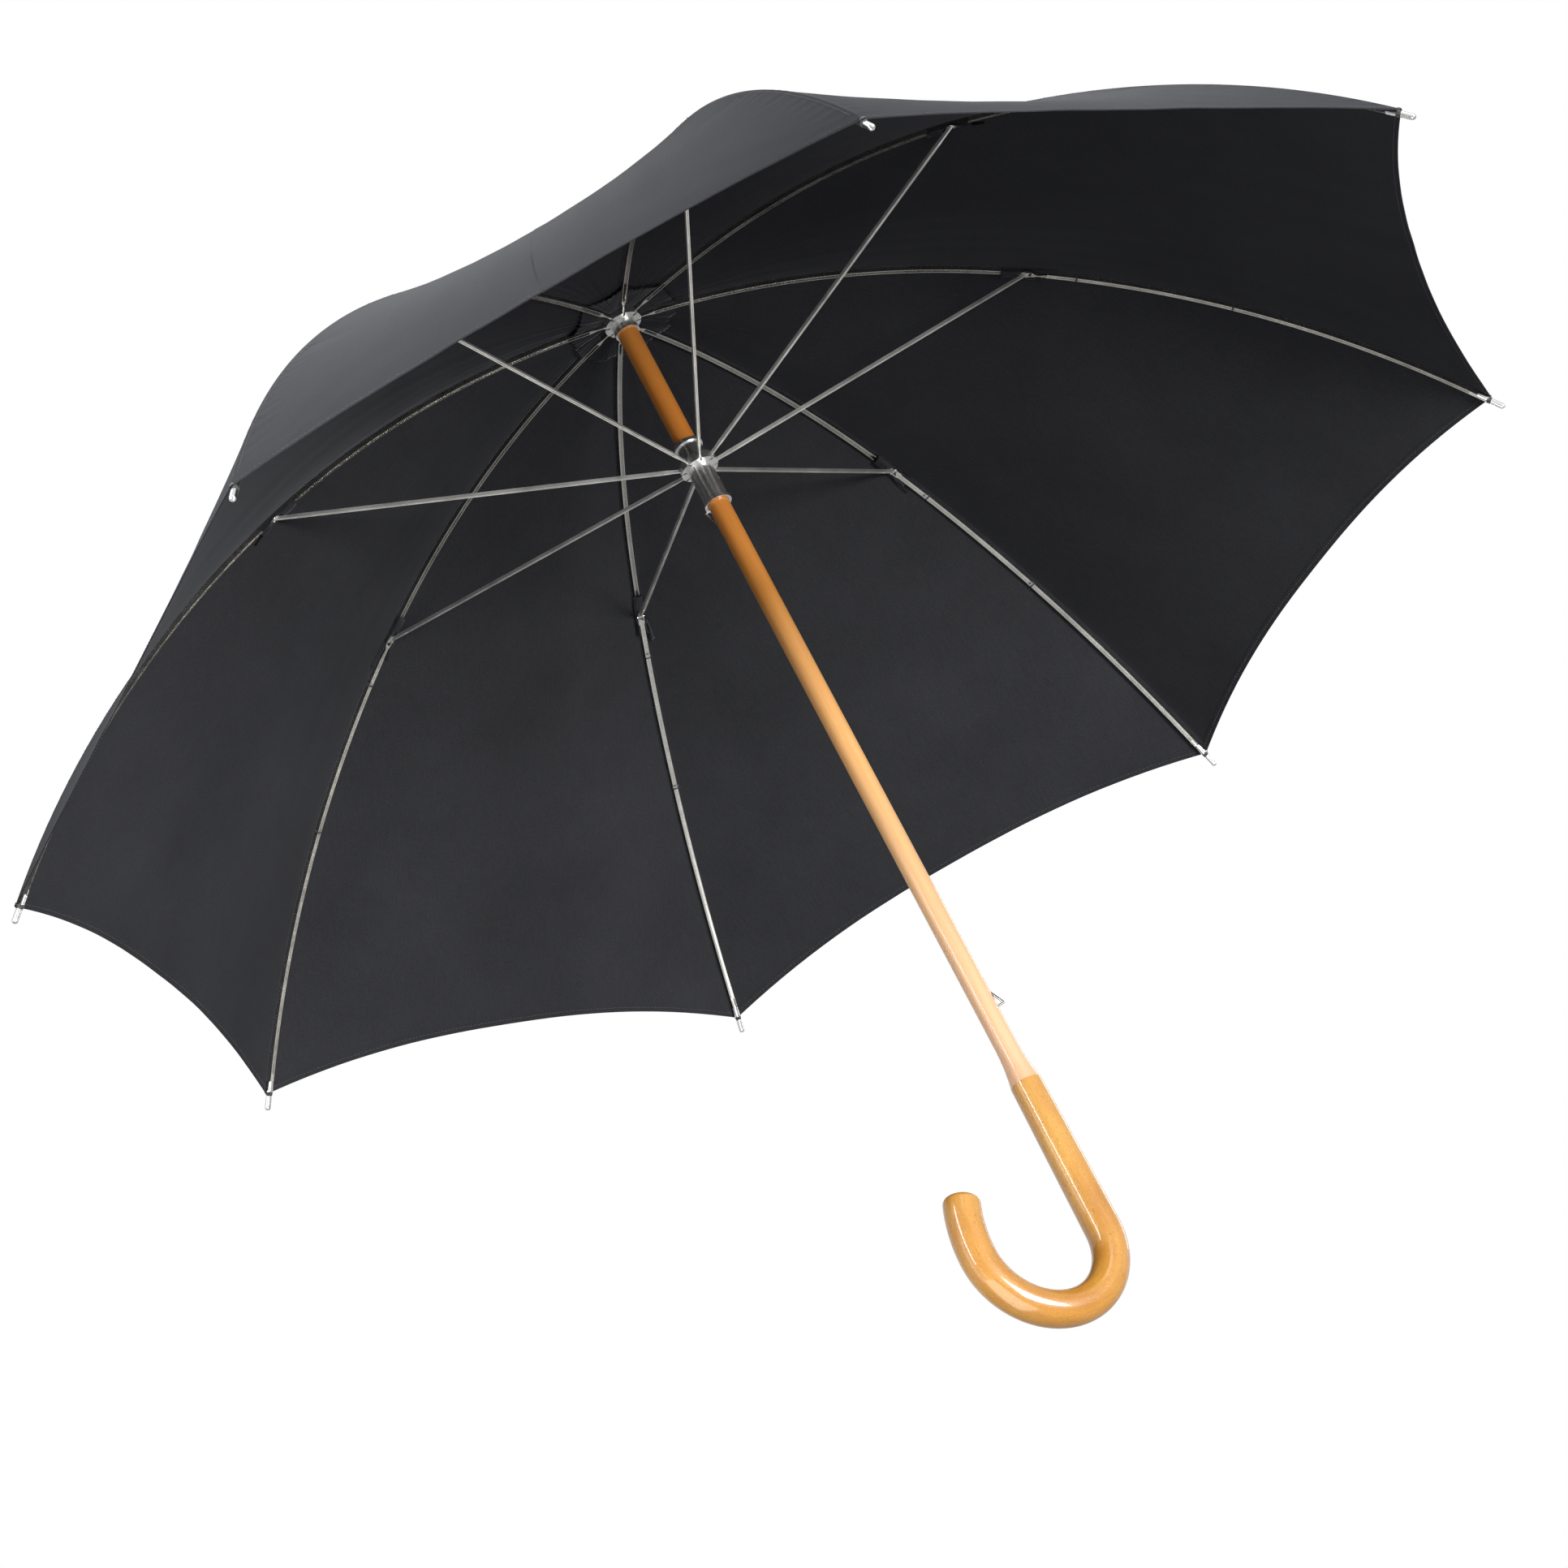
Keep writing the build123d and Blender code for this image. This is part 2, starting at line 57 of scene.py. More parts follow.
# ---- the frame's own dimensions, as in the CAD model ----------------------------------
RIBS = 8
PITCH = math.tau / RIBS
FIRST_RIB = math.radians(71.7)
PIVOT_R, NOTCH_Z = 0.012, 0.700
ARM, RING_GAP = 0.281, 0.132
OPEN = math.acos(RING_GAP / (2 * ARM))
NOTCH = (PIVOT_R, NOTCH_Z)
JOINT = (PIVOT_R + ARM * math.sin(OPEN), NOTCH_Z - RING_GAP / 2)
TIP_END, END_SLOPE, TIP_LEN = (0.550, 0.405), math.radians(52.0), 0.021
RIB_BACK, RIB_LIP = 0.0022, 0.0012
AXIS_RISE = (RIB_BACK - RIB_LIP) / 2
INNER_TURN = math.radians(27.5)
HANDLE_Z, BEND_Z, BEND_R, TAIL_R = 0.055, -0.053, 0.0475, 0.098
TAIL_X = 2 * BEND_R - TAIL_R

# ---- the cover ------------------------------------------------------------------------
CLOTH_START, CLOTH_END = -0.003, 0.0095   # along a rib: from its pivot, and past its channel
HEM_RISE, HEM_POWER = 0.024, 2.36         # a hem's middle stands back from its corners
PANEL_DIP = 0.0135
UNDER_RISE, CLOTH_T, FOLD_T = 0.0033, 0.00035, 0.0004
SEAM_W, HEM_W, FOLD_STEP = 0.0042, 0.0058, 0.0004
TIES = (0.035, 0.148)                     # thread ties, past the stretcher joint


class RibArc:
    """An arc that bends downwards from start to end, in the plane of a rib."""

    def __init__(self, start, end, turn):
        run, fall = end[0] - start[0], start[1] - end[1]
        self.radius = math.hypot(run, fall) / 2 / math.sin(turn / 2)
        chord_slope = math.atan2(fall, run)
        self.first, self.last = chord_slope - turn / 2, chord_slope + turn / 2
        self.centre = (
            start[0] - self.radius * math.sin(self.first),
            start[1] - self.radius * math.cos(self.first),
        )
        self.length = self.radius * turn


INNER = RibArc(NOTCH, JOINT, INNER_TURN)
CHANNEL_END = (
    TIP_END[0] - TIP_LEN * math.cos(END_SLOPE) - AXIS_RISE * math.sin(END_SLOPE),
    TIP_END[1] + TIP_LEN * math.sin(END_SLOPE) - AXIS_RISE * math.cos(END_SLOPE),
)
OUTER_CHORD = math.atan2(JOINT[1] - CHANNEL_END[1], CHANNEL_END[0] - JOINT[0])
OUTER = RibArc(JOINT, CHANNEL_END, 2 * (OUTER_CHORD - INNER.last))
AT_JOINT, AT_END = INNER.length, INNER.length + OUTER.length
CLOTH_LEN = AT_END + CLOTH_END


def rib_line(along, rise):
    """Radius, height and slope of a rib's line at distances along it, raised above it."""
    s, h = np.broadcast_arrays(np.asarray(along, float), np.asarray(rise, float))
    inner, past = s <= AT_JOINT, np.maximum(s - AT_END, 0)
    slope = np.where(
        inner,
        INNER.first + s / INNER.radius,
        OUTER.first + np.minimum(s - AT_JOINT, OUTER.length) / OUTER.radius,
    )
    cx = np.where(inner, INNER.centre[0], OUTER.centre[0])
    cz = np.where(inner, INNER.centre[1], OUTER.centre[1])
    reach = np.where(inner, INNER.radius, OUTER.radius) + h
    x = cx + reach * np.sin(slope) + past * np.cos(slope)
    z = cz + reach * np.cos(slope) - past * np.sin(slope)
    return x, z, slope


def azimuth(rib):
    """The azimuth of a rib, which counts from 0, or of a place between two ribs."""
    return FIRST_RIB + rib * PITCH


def at_azimuth(points, angle):
    """Points drawn with X outwards and Y across, turned to their place round the shaft."""
    p = np.asarray(points, float)
    c, s = math.cos(angle), math.sin(angle)
    return np.stack([p[..., 0] * c - p[..., 1] * s, p[..., 0] * s + p[..., 1] * c, p[..., 2]], -1)


def on_rib(along, across, rise):
    """Points beside a rib at azimuth 0: along its line, across it and above it."""
    x, z, _ = rib_line(along, rise)
    x, y, z = np.broadcast_arrays(x, np.asarray(across, float), z)
    return np.stack([x, y, z], -1)


def waves(seed, count, *coordinates):
    """A smooth sum of seeded sine waves, from -1 to 1, for slight unevenness."""
    random = np.random.default_rng(seed)
    total = np.zeros(np.broadcast(*coordinates).shape)
    for _ in range(count):
        total = total + np.sin(
            sum(random.uniform(-1, 1) * c for c in coordinates) * math.tau
            + random.uniform(0, math.tau)
        )
    return total / count


def uneven(panel, u, s):
    """How far taut cloth stands off its even shape: waves, puckers, pulls, and small fans."""
    half = rib_line(s, 0)[0] * math.sin(PITCH / 2)
    edge = (1 - np.abs(u)) * half
    free = 1 - u**2
    side = np.where(u < 0, 0, 5)
    soft = 0.45 * MM * free * waves(20 + panel, 5, 5 * u, s / 0.16)
    pucker = 0.09 * MM * (edge / 0.005) * np.exp(1 - edge / 0.005) * np.sin(
        s / 0.0131 * math.tau + 1.7 * waves(50 + panel, 3, s / 0.05, side)
    ) * np.clip(s / 0.05 - 0.6, 0, 1)
    pull = sum(
        -0.4 * MM * (edge / 0.012) * np.exp(1 - edge / 0.012)
        * np.exp(-(((s - AT_JOINT - tie) / 0.014) ** 2))
        for tie in TIES
    )
    to_corner = np.hypot(edge, CLOTH_LEN - s)
    spread = np.arctan2(edge, np.maximum(CLOTH_LEN - s, 1e-6))
    fans = 0.3 * MM * free * np.exp(-to_corner / 0.07) * np.sin(13 * spread + panel)
    hub = 0.3 * MM * free * np.exp(-np.maximum(s, 0) / 0.05) * np.sin(9 * math.pi * u + panel)
    return soft + pucker + pull + fans + hub


def cover(panel, u, s, rise):
    """Points of a panel. u runs from -1 on its first rib to 1 on the next one."""
    x, z, slope = rib_line(s, rise)
    u = np.asarray(u, float)
    a, b, middle = azimuth(panel), azimuth(panel + 1), azimuth(panel + 0.5)
    wa, wb = (1 - u) / 2, (1 + u) / 2
    bow = PANEL_DIP * np.sin(math.pi * np.clip(s / CLOTH_LEN, 0, 1)) ** 0.9 * (1 - u**2)
    off = uneven(panel, u, s) - bow
    out = x * (wa * math.cos(a) + wb * math.cos(b)) + off * np.sin(slope) * math.cos(middle)
    side = x * (wa * math.sin(a) + wb * math.sin(b)) + off * np.sin(slope) * math.sin(middle)
    return np.stack([out, side, z + off * np.cos(slope)], -1)


def hem_end(u):
    """Where the hem ends along the rib's line, at a share u of the way across a panel."""
    return CLOTH_LEN - HEM_RISE * (1 - np.abs(u) ** HEM_POWER)


def cover_normal(panel, u, s):
    """The cloth's outward normal."""
    e = 1e-4
    du = cover(panel, u + e, s, UNDER_RISE) - cover(panel, u - e, s, UNDER_RISE)
    ds = cover(panel, u, s + e, UNDER_RISE) - cover(panel, u, s - e, UNDER_RISE)
    n = np.cross(ds, du)
    return n / np.linalg.norm(n, axis=-1, keepdims=True)


# ---- meshes ---------------------------------------------------------------------------
def make(name, points, faces, materials, slots=None, uvs=None, normals=None):
    """A mesh object. slots is a material number, and uvs a pair, for each face and corner."""
    mesh = bpy.data.meshes.new(name)
    mesh.from_pydata(np.asarray(points, float).tolist(), [], [list(map(int, f)) for f in faces])
    for m in materials:
        mesh.materials.append(m)
    if slots is not None:
        mesh.polygons.foreach_set("material_index", np.asarray(slots, np.int32))
    mesh.polygons.foreach_set("use_smooth", np.full(len(faces), True))
    if uvs is not None:
        layer = mesh.uv_layers.new(name="cloth")
        layer.data.foreach_set("uv", np.asarray(uvs, np.float32).ravel())
    mesh.update()
    if normals is not None:
        mesh.normals_split_custom_set(np.asarray(normals, float).tolist())
    obj = bpy.data.objects.new(name, mesh)
    bpy.context.scene.collection.objects.link(obj)
    return obj


def grid_faces(rows, columns, start=0, flip=False, around=False):
    """Quads of a grid of points laid out row by row. around joins its last column to its first."""
    last = columns if around else columns - 1
    i, j = np.meshgrid(np.arange(rows - 1), np.arange(last), indexing="ij")
    a, b = i * columns + j, i * columns + (j + 1) % columns
    quads = np.stack([a, b, b + columns, a + columns], -1).reshape(-1, 4) + start
    return quads[:, ::-1] if flip else quads


class Shape:
    """Gathers points, faces, material numbers and corner UVs for one object."""

    def __init__(self):
        self.points, self.faces, self.slots, self.count = [], [], [], 0

    def add(self, points, faces, slot=0):
        points = np.asarray(points, float).reshape(-1, 3)
        self.points.append(points)
        self.faces += [[int(v) + self.count for v in f] for f in faces]
        self.slots += [slot] * len(faces)
        self.count += len(points)

    def tube(self, line, radius, sides=6, slot=0):
        """A rod along a line of points, closed at both ends."""
        line = np.asarray(line, float)
        n = len(line)
        ahead = np.gradient(line, axis=0)
        ahead /= np.linalg.norm(ahead, axis=1, keepdims=True)
        side = np.cross(ahead, (0.0, 0.0, 1.0))
        weak = np.linalg.norm(side, axis=1) < 1e-3
        side[weak] = np.cross(ahead[weak], (1.0, 0.0, 0.0))
        side /= np.linalg.norm(side, axis=1, keepdims=True)
        rise = np.cross(side, ahead)
        angles = np.arange(sides) * math.tau / sides
        radius = np.broadcast_to(np.asarray(radius, float), n)[:, None, None]
        ring = line[:, None] + radius * (
            np.cos(angles)[None, :, None] * side[:, None]
            + np.sin(angles)[None, :, None] * rise[:, None]
        )
        faces = [list(q) for q in grid_faces(n, sides, around=True)]
        faces += [list(range(sides))[::-1], list(range((n - 1) * sides, n * sides))]
        self.add(ring, faces, slot)

    def object(self, name, materials):
        return make(name, np.concatenate(self.points), self.faces, materials, self.slots)


def sheet_grid(under, over):
    """A closed thin sheet from two grids of points, its underside and its upper side."""
    rows, columns = under.shape[:2]
    n = rows * columns
    points = np.concatenate([under.reshape(-1, 3), over.reshape(-1, 3)])
    low, high = grid_faces(rows, columns, 0), grid_faces(rows, columns, n, flip=True)
    loop = np.concatenate([
        np.arange(columns),
        np.arange(1, rows) * columns + columns - 1,
        (rows - 1) * columns + np.arange(columns - 2, -1, -1),
        np.arange(rows - 2, 0, -1) * columns,
    ])
    after = np.roll(loop, -1)
    rim = np.stack([after, loop, loop + n, after + n], -1)
    return points, low, high, rim


# ---- materials ------------------------------------------------------------------------
class Nodes:
    """Short helpers to build one procedural material."""

    def __init__(self, name):
        self.material = bpy.data.materials.new(name)
        self.material.use_nodes = True
        self.tree = self.material.node_tree
        self.shader = self.tree.nodes["Principled BSDF"]

    def add(self, kind, **settings):
        node = self.tree.nodes.new(kind)
        for key, value in settings.items():
            setattr(node, key, value)
        return node

    def link(self, source, target):
        self.tree.links.new(source, target)

    def set(self, **values):
        for key, value in values.items():
            self.shader.inputs[key.replace("_", " ")].default_value = value

    def math(self, operation, *values):
        node = self.add("ShaderNodeMath", operation=operation)
        for socket, v in zip(node.inputs, values):
            if isinstance(v, (int, float)):
                socket.default_value = v
            else:
                self.link(v, socket)
        return node.outputs[0]

    def coordinates(self, output="Object", scale=(1, 1, 1)):
        source = self.add("ShaderNodeTexCoord").outputs[output]
        mapping = self.add("ShaderNodeMapping")
        mapping.inputs["Scale"].default_value = scale
        self.link(source, mapping.inputs["Vector"])
        return mapping.outputs[0]

    def noise(self, vector, scale, detail=3.0, rough=0.5):
        node = self.add("ShaderNodeTexNoise")
        node.inputs["Scale"].default_value = scale
        node.inputs["Detail"].default_value = detail
        node.inputs["Roughness"].default_value = rough
        self.link(vector, node.inputs["Vector"])
        return node.outputs["Fac"]

    def ramp(self, fac, *stops):
        node = self.add("ShaderNodeValToRGB")
        ramp = node.color_ramp
        while len(ramp.elements) < len(stops):
            ramp.elements.new(0.5)
        for element, (position, colour) in zip(ramp.elements, stops):
            element.position = position
            element.color = (*colour, 1) if len(colour) == 3 else colour
        self.link(fac, node.inputs[0])
        return node.outputs[0]

    def mix(self, fac, a, b, blend="MIX"):
        node = self.add("ShaderNodeMix", data_type="RGBA", blend_type=blend)
        for socket, v in ((node.inputs[0], fac), (node.inputs[6], a), (node.inputs[7], b)):
            if isinstance(v, (int, float)):
                socket.default_value = v
            elif isinstance(v, tuple):
                socket.default_value = (*v, 1)
            else:
                self.link(v, socket)
        return node.outputs[2]

    def range(self, fac, low, high):
        node = self.add("ShaderNodeMapRange")
        node.inputs[3].default_value, node.inputs[4].default_value = low, high
        self.link(fac, node.inputs[0])
        return node.outputs[0]

    def bump(self, height, strength, distance):
        node = self.add("ShaderNodeBump")
        node.inputs["Strength"].default_value = strength
        node.inputs["Distance"].default_value = distance
        self.link(height, node.inputs["Height"])
        self.link(node.outputs[0], self.shader.inputs["Normal"])


def grey(value):
    return (value, value, value)


def scaled(colour, share):
    return tuple(share * c for c in colour)


WEAVE_PITCH = 0.00052         # from one thread of the cloth to the next


def cloth_material(name, base, sheen, weave=True):
    """Black cloth, slightly uneven, with a soft sheen. weave runs its threads along the panel."""
    m = Nodes(name)
    m.set(Sheen_Weight=sheen, Sheen_Roughness=0.40, Specular_IOR_Level=0.025)
    m.shader.inputs["Sheen Tint"].default_value = (0.80, 0.82, 0.88, 1)
    source = "UV" if weave else "Object"
    flat = m.coordinates(source)
    parts = m.add("ShaderNodeSeparateXYZ")
    m.link(flat, parts.inputs[0])
    thread = math.tau / WEAVE_PITCH
    warp = m.math("SINE", m.math("MULTIPLY", parts.outputs[0], thread))
    weft = m.math("SINE", m.math("MULTIPLY", parts.outputs[1], thread))
    knit = m.math("MULTIPLY_ADD", m.math("MULTIPLY", warp, weft), 0.5, 0.5)
    body = m.coordinates("Object")
    cloud = m.noise(body, 9, 4, 0.6)
    slub = m.noise(m.coordinates(source, (900, 60, 60)), 1.0, 2)
    fine = m.noise(body, 900, 2)
    tone = m.ramp(cloud, (0.25, scaled(base, 0.86)), (0.75, scaled(base, 1.16)))
    tone = m.mix(0.35, tone, m.ramp(fine, (0.3, grey(0.55)), (0.7, grey(1.35))), "MULTIPLY")
    tone = m.mix(0.22, tone, m.ramp(knit, (0.1, grey(0.6)), (0.9, grey(1.3))), "MULTIPLY")
    tone = m.mix(0.25, tone, m.ramp(slub, (0.3, grey(0.75)), (0.7, grey(1.2))), "MULTIPLY")
    m.link(tone, m.shader.inputs["Base Color"])
    m.link(m.range(slub, 0.62, 0.80), m.shader.inputs["Roughness"])
    height = m.math("ADD", m.math("MULTIPLY", knit, 0.6), m.math("MULTIPLY", fine, 0.4))
    m.bump(height, 0.25, 0.00012)
    return m.material


def thread_material(name, base):
    """Spun sewing thread: fine turns round each stitch."""
    m = Nodes(name)
    m.set(Sheen_Weight=0.3, Specular_IOR_Level=0.5)
    twist = m.noise(m.coordinates("Object"), 2600, 2)
    m.link(m.ramp(twist, (0.3, scaled(base, 0.6)), (0.7, scaled(base, 1.4))),
           m.shader.inputs["Base Color"])
    m.link(m.range(twist, 0.35, 0.6), m.shader.inputs["Roughness"])
    m.bump(twist, 0.4, 0.00008)
    return m.material


def metal_material(name, base, rough, grain=(1, 1, 1), speckle=0.2, stain=(0.45, 0.43, 0.40)):
    """Plated steel: polished, with drawn grain, small specks and a few duller patches."""
    m = Nodes(name)
    m.set(Metallic=1.0)
    body = m.coordinates("Object")
    patch = m.noise(body, 38, 5, 0.65)
    drawn = m.noise(m.coordinates("Object", grain), 1400, 2)
    specks = m.noise(body, 1900, 2, 0.6)
    tone = m.ramp(patch, (0.30, scaled(base, 0.80)), (0.62, base))
    tone = m.mix(m.range(m.math("GREATER_THAN", specks, 0.66), 0, speckle), tone, stain)
    m.link(tone, m.shader.inputs["Base Color"])
    blend = m.math("ADD", m.math("MULTIPLY", patch, 0.5), m.math("MULTIPLY", drawn, 0.5))
    m.link(m.range(blend, rough * 0.7, rough * 1.6), m.shader.inputs["Roughness"])
    m.bump(drawn, 0.05, 0.00003)
    return m.material


def shaft_material():
    """Stained and lacquered beech, with pores and grain up the stick. Its colour along the stick is
    partly stain and partly painted light: paler towards the handle, darker higher up, and brighter
    again at the top as a painted highlight.
    """
    m = Nodes("shaft_wood")
    m.set(Coat_Weight=0.8, Coat_Roughness=0.19, Specular_IOR_Level=0.5)
    body = m.add("ShaderNodeTexCoord").outputs["Object"]
    parts = m.add("ShaderNodeSeparateXYZ")
    m.link(body, parts.inputs[0])
    up = m.add("ShaderNodeMapRange")
    up.inputs[1].default_value, up.inputs[2].default_value = HANDLE_Z, NOTCH_Z
    m.link(parts.outputs[2], up.inputs[0])
    # painted light along the stick: it pales towards the handle partly as stain and partly as
    # painted light, is darkest a little above the middle, and the brighter stops at the top are a
    # painted highlight
    base = m.ramp(
        up.outputs[0],
        (0.00, (0.700, 0.420, 0.250)), (0.22, (0.760, 0.450, 0.225)),
        (0.42, (0.800, 0.430, 0.160)), (0.62, (0.400, 0.160, 0.028)),
        (0.82, (0.560, 0.190, 0.028)), (1.00, (0.850, 0.310, 0.048)),
    )
    streak = m.noise(m.coordinates("Object", (1, 1, 0.035)), 520, 4, 0.6)
    band = m.noise(m.coordinates("Object", (1, 1, 0.05)), 110, 3, 0.5)
    pore = m.noise(m.coordinates("Object", (1, 1, 0.12)), 1900, 2, 0.5)
    tone = m.mix(0.35, base, m.ramp(streak, (0.30, grey(0.78)), (0.70, grey(1.12))), "MULTIPLY")
    bands = m.ramp(band, (0.30, (0.84, 0.80, 0.76)), (0.70, grey(1.08)))
    tone = m.mix(0.5, tone, bands, "MULTIPLY")
    dark = m.range(m.math("GREATER_THAN", pore, 0.70), 0, 0.14)
    tone = m.mix(dark, tone, (0.16, 0.06, 0.02))
    m.link(tone, m.shader.inputs["Base Color"])
    m.link(m.range(streak, 0.34, 0.50), m.shader.inputs["Roughness"])
    height = m.math("ADD", m.math("MULTIPLY", streak, 0.5), m.math("MULTIPLY", pore, 0.5))
    m.bump(height, 0.10, 0.0001)
    return m.material


def handle_material():
    """Bent wood under thick clear lacquer: the grain and flecks follow the crook round."""
    m = Nodes("handle_wood")
    m.set(Coat_Weight=1.0, Coat_Roughness=0.08, Specular_IOR_Level=0.5)
    body = m.add("ShaderNodeTexCoord").outputs["Object"]
    parts = m.add("ShaderNodeSeparateXYZ")
    m.link(body, parts.inputs[0])
    x, y, z = parts.outputs[0], parts.outputs[1], parts.outputs[2]
    drop = m.math("SUBTRACT", z, BEND_Z)
    above = m.math("GREATER_THAN", drop, 0.0)
    far = m.math("GREATER_THAN", x, BEND_R)
    # how far outside the centreline, and how far along it, on the rod, the bend and the tail
    bx = m.math("SUBTRACT", x, BEND_R)
    bend_out = m.math("SUBTRACT", m.math("POWER", m.math("ADD", m.math("MULTIPLY", bx, bx),
                      m.math("MULTIPLY", drop, drop)), 0.5), BEND_R)
    bend_along = m.math("MULTIPLY", m.math("ARCTAN2", m.math("MULTIPLY", drop, -1.0),
                        m.math("MULTIPLY", bx, -1.0)), BEND_R)
    tx = m.math("SUBTRACT", x, TAIL_X)
    tail_out = m.math("SUBTRACT", m.math("POWER", m.math("ADD", m.math("MULTIPLY", tx, tx),
                      m.math("MULTIPLY", drop, drop)), 0.5), TAIL_R)
    tail_along = m.math("ADD", m.math("MULTIPLY", m.math("ARCTAN2", drop, tx), TAIL_R),
                        math.pi * BEND_R)
    rod_out, rod_along = m.math("MULTIPLY", x, -1.0), m.math("MULTIPLY", drop, -1.0)

    def pick(switch, yes, no):
        rest = m.math("SUBTRACT", 1.0, switch)
        return m.math("ADD", m.math("MULTIPLY", switch, yes), m.math("MULTIPLY", rest, no))

    out = pick(above, pick(far, tail_out, rod_out), bend_out)
    along = pick(above, pick(far, tail_along, rod_along), bend_along)
    join = m.add("ShaderNodeCombineXYZ")
    for i, v in enumerate((out, y, along)):
        m.link(v, join.inputs[i])

    def stretched(length):
        mapping = m.add("ShaderNodeMapping")
        mapping.inputs["Scale"].default_value = (1, 1, length)
        m.link(join.outputs[0], mapping.inputs["Vector"])
        return mapping.outputs[0]

    grain = m.noise(stretched(0.05), 420, 4, 0.6)
    cloud = m.noise(stretched(0.45), 42, 4, 0.55)
    fleck = m.noise(stretched(0.5), 900, 2, 0.5)
    glint = m.noise(stretched(0.7), 1300, 2, 0.5)
    tone = m.ramp(
        cloud, (0.25, (0.370, 0.150, 0.018)), (0.5, (0.470, 0.215, 0.030)),
        (0.75, (0.570, 0.300, 0.058)),
    )
    tone = m.mix(0.4, tone, m.ramp(grain, (0.3, (0.80, 0.74, 0.66)), (0.7, grey(1.14))), "MULTIPLY")
    tone = m.mix(m.range(m.math("GREATER_THAN", fleck, 0.665), 0, 0.45), tone, (0.22, 0.085, 0.02))
    tone = m.mix(m.range(m.math("GREATER_THAN", glint, 0.68), 0, 0.35), tone, (0.95, 0.72, 0.42))
    m.link(tone, m.shader.inputs["Base Color"])
    m.link(m.range(grain, 0.30, 0.46), m.shader.inputs["Roughness"])
    height = m.math("ADD", m.math("MULTIPLY", grain, 0.6), m.math("MULTIPLY", fleck, 0.4))
    m.bump(height, 0.06, 0.0001)
    return m.material


CLOTH_BASE = (0.0300, 0.0308, 0.0348)
cloth = cloth_material("black_pongee", CLOTH_BASE, 0.10)
satin = cloth_material("black_satin", (0.030, 0.031, 0.035), 0.30, weave=False)
thread = thread_material("black_thread", (0.030, 0.031, 0.034))
rib_steel = metal_material("rib_steel", (0.88, 0.865, 0.83), 0.22, speckle=0.35)
# the inner ribs' steel is a darker copy of the rib steel: painted shade near the hub
shaded_inner_steel = metal_material("shaded_inner_steel", (0.64, 0.63, 0.60), 0.24, speckle=0.35)
# the stretchers' steel is a brighter copy of the rib steel: a painted highlight
lit_arm_steel = metal_material("lit_arm_steel", (0.97, 0.96, 0.93), 0.42, speckle=0.25)
bright_steel = metal_material("bright_steel", (0.84, 0.835, 0.825), 0.27, (1, 1, 0.4), 0.12)
spring_steel = metal_material("spring_steel", (0.74, 0.73, 0.71), 0.24, speckle=0.25)
tip_steel = metal_material("tip_steel", (0.90, 0.895, 0.88), 0.20, speckle=0.10)
shaft_wood, handle_wood = shaft_material(), handle_material()

CAD_MATERIALS = {
    "shaft": shaft_wood, "crook_handle": handle_wood, "ferrule": bright_steel,
    "top_cap": bright_steel, "top_notch": bright_steel, "runner_tube": bright_steel,
    "notch_wire": spring_steel, "notch_pin": spring_steel, "spring_pins": spring_steel,
    "runner_wire": spring_steel, "top_spring": spring_steel, "hand_spring": spring_steel,
    "inner_rib": shaded_inner_steel, "outer_rib": rib_steel, "joint_rivet": rib_steel,
    "stretcher": lit_arm_steel, "rib_tip": tip_steel,
}
for name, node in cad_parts.items():
    kind = name.rstrip("0123456789").rstrip("_")
    if kind in CAD_MATERIALS:
        node.data.materials.clear()
        node.data.materials.append(CAD_MATERIALS[kind])

# ---- camera, lights, floor --------------------------------------------------------------
CAMERA_AT = (1.5700, 2.0862, -0.9563)
CAMERA_RIGHT = np.array((-0.8377, 0.3558, -0.4144))
CAMERA_DOWN = np.array((0.1450, -0.5866, -0.7968))
CAMERA_AHEAD = np.array((-0.5266, -0.7275, 0.4398))
LENS, SENSOR = 100.85, 36.0

camera_data = bpy.data.cameras.new("camera")
camera_data.sensor_width = SENSOR
camera_data.lens = LENS
camera_data.clip_start, camera_data.clip_end = 0.05, 60
camera = bpy.data.objects.new("camera", camera_data)
bpy.context.scene.collection.objects.link(camera)
turn = np.eye(4)
turn[:3, 0], turn[:3, 1], turn[:3, 2] = CAMERA_RIGHT, -CAMERA_DOWN, -CAMERA_AHEAD
turn[:3, 3] = CAMERA_AT
camera.matrix_world = Matrix(turn.tolist())
bpy.context.scene.camera = camera

COVER_AT, HANDLE_AT = np.array((0.0, 0.0, 0.42)), np.array((0.01, 0.0, 0.10))


def soft_light(name, right, up, near, distance, size, power, colour=(1, 1, 1), at=COVER_AT):
    """An area light that faces a point, placed by its direction as seen from the camera."""
    way = right * CAMERA_RIGHT - up * CAMERA_DOWN - near * CAMERA_AHEAD
    way = way / np.linalg.norm(way)
    data = bpy.data.lights.new(name, "AREA")
    data.shape, data.size, data.size_y = "RECTANGLE", size[0], size[1]
    data.energy, data.color = power, colour
    light = bpy.data.objects.new(name, data)
    light.visible_camera = False
    bpy.context.scene.collection.objects.link(light)
    x = np.cross((0.0, 0.0, 1.0), way)
    x /= np.linalg.norm(x)
    m = np.eye(4)
    m[:3, 0], m[:3, 1], m[:3, 2] = x, np.cross(way, x), way
    m[:3, 3] = at + way * distance
    light.matrix_world = Matrix(m.tolist())


